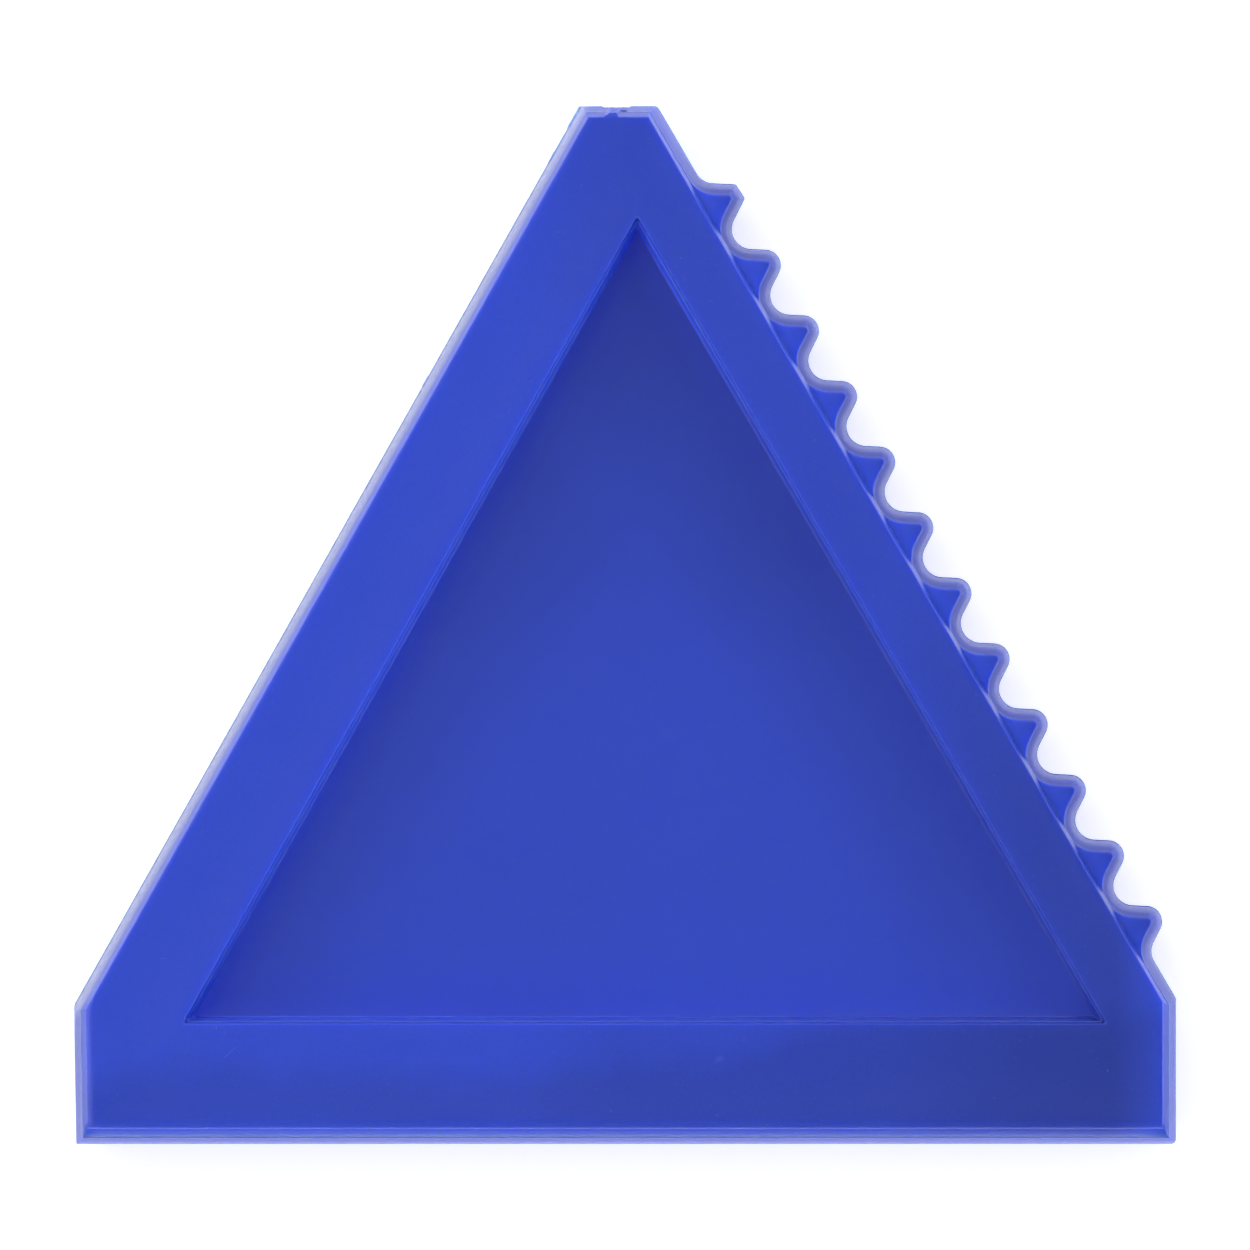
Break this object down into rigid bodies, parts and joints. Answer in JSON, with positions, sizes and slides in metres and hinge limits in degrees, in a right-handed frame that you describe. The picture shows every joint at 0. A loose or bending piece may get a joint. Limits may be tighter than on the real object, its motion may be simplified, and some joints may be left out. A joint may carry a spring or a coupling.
{
  "type": "windshield ice scraper",
  "caption": "Flat triangular hand scraper for windshield ice, with straight scraping edges, a toothed edge and raised rims around sunk panels.",
  "frame": {"origin": "centre of the footprint's bounding box, on the surface that the scraper lies on", "axes": "+X along the base edge, towards the toothed side; +Y from the base edge to the tip; +Z out of the front face"},
  "size_m": [0.115, 0.1084, 0.012],
  "materials": {
    "body": "smooth, lightly glossy blue moulded plastic",
    "rim": "satin blue moulded plastic with soft sink marks and a fine grain"
  },
  "bodies": {
    "root": {"toothed_body": "body", "front_rim": "rim", "rear_rim": "rim"}
  },
  "joints": []
}
